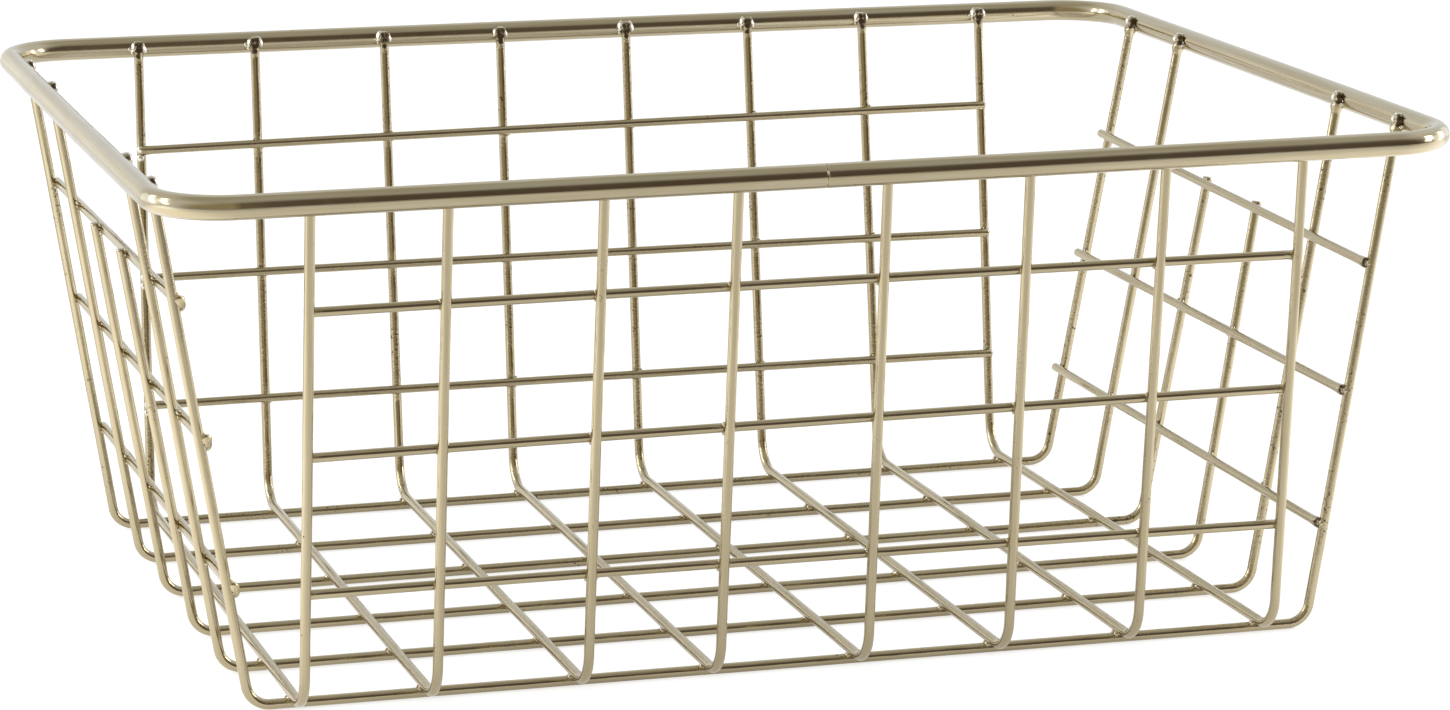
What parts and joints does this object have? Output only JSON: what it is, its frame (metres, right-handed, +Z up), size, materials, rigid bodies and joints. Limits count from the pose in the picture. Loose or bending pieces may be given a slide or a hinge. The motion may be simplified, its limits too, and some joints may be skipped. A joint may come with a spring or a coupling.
{
  "type": "wire basket",
  "caption": "Open rectangular wire storage basket: bent tray wires crossed and welded into a floor and flared walls, tied by rails, under a thick rim ring with hand holes at both ends.",
  "frame": {"origin": "on the ground, under the middle of the rim ring", "axes": "+X along the basket's long side, to the right as seen from its front; +Y from the front to the back; +Z up"},
  "size_m": [0.3056, 0.2302, 0.1237],
  "materials": {
    "rim_wire": "bright pale champagne-gold plating on thick steel wire, satin along the ends and glossy along the front",
    "tray_wire": "glossy pale champagne-gold plating on steel wire, with bright weld beads at the crossings",
    "rail_wire": "glossy pale champagne-gold plating on steel wire, lightly speckled"
  },
  "bodies": {
    "root": {"rim": "rim_wire", "long_wire_1": "tray_wire", "long_wire_2": "tray_wire", "long_wire_3": "tray_wire", "long_wire_4": "tray_wire", "long_wire_5": "tray_wire", "long_wire_6": "tray_wire", "cross_wire_1": "tray_wire", "cross_wire_2": "tray_wire", "cross_wire_3": "tray_wire", "cross_wire_4": "tray_wire", "cross_wire_5": "tray_wire", "cross_wire_6": "tray_wire", "cross_wire_7": "tray_wire", "cross_wire_8": "tray_wire", "front_rail_top": "rail_wire", "front_rail_middle": "rail_wire", "front_rail_bottom": "rail_wire", "back_rail_top": "rail_wire", "back_rail_middle": "rail_wire", "back_rail_bottom": "rail_wire", "left_rail_top": "rail_wire", "left_rail_middle": "rail_wire", "left_rail_bottom": "rail_wire", "right_rail_top": "rail_wire", "right_rail_middle": "rail_wire", "right_rail_bottom": "rail_wire"}
  },
  "joints": []
}
